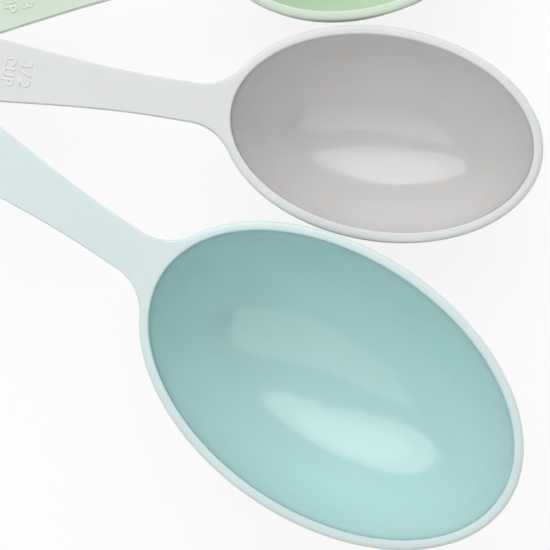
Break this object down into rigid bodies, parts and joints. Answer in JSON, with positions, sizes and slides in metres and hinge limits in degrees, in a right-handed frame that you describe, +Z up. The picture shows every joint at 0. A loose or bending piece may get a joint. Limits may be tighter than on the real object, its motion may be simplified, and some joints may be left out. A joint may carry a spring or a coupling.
{
  "type": "measuring cup set",
  "caption": "Oval nesting measuring cups with long flat handles, fanned out and held together at the handle ends by a hinged plastic ring.",
  "frame": {"origin": "under the middle of the whole set's bounding box, on the surface that the cups stand on", "axes": "+Z up; the ring's upright run and every swing axis are parallel to +Z; the handles run out from the ring towards +X; the largest cup lies towards -Y and the smallest towards +Y"},
  "size_m": [0.2388, 0.2622, 0.064],
  "materials": {
    "teal_plastic": "satin",
    "grey_plastic": "satin",
    "green_plastic": "satin",
    "cream_plastic": "satin",
    "ring_plastic": "satin",
    "pin_steel": "satin"
  },
  "bodies": {
    "ring": {"ring_frame": "ring_plastic", "ring_pin": "pin_steel"},
    "gate": {"ring_gate": "ring_plastic"},
    "half_cup": {"half_cup": "grey_plastic"},
    "one_cup": {"one_cup": "teal_plastic"},
    "third_cup": {"third_cup": "green_plastic"},
    "quarter_cup": {"quarter_cup": "cream_plastic"}
  },
  "joints": [
    {"name": "half_cup_swing", "type": "hinge", "parent": "ring", "child": "half_cup", "pos_m": [-0.09265, 0.01504, 0.04], "axis": [0, 0, 1], "range_deg": [-15, 15]},
    {"name": "one_cup_swing", "type": "hinge", "parent": "half_cup", "child": "one_cup", "pos_m": [-0.09265, 0.01504, 0.04], "axis": [0, 0, 1], "range_deg": [-60, 0]},
    {"name": "third_cup_swing", "type": "hinge", "parent": "half_cup", "child": "third_cup", "pos_m": [-0.09265, 0.01504, 0.04], "axis": [0, 0, 1], "range_deg": [0, 45]},
    {"name": "quarter_cup_swing", "type": "hinge", "parent": "third_cup", "child": "quarter_cup", "pos_m": [-0.09265, 0.01504, 0.04], "axis": [0, 0, 1], "range_deg": [0, 45]},
    {"name": "ring_gate_hinge", "type": "hinge", "parent": "ring", "child": "gate", "pos_m": [-0.11665, 0.01504, 0.03273], "axis": [0, -1, 0], "range_deg": [0, 80]}
  ]
}
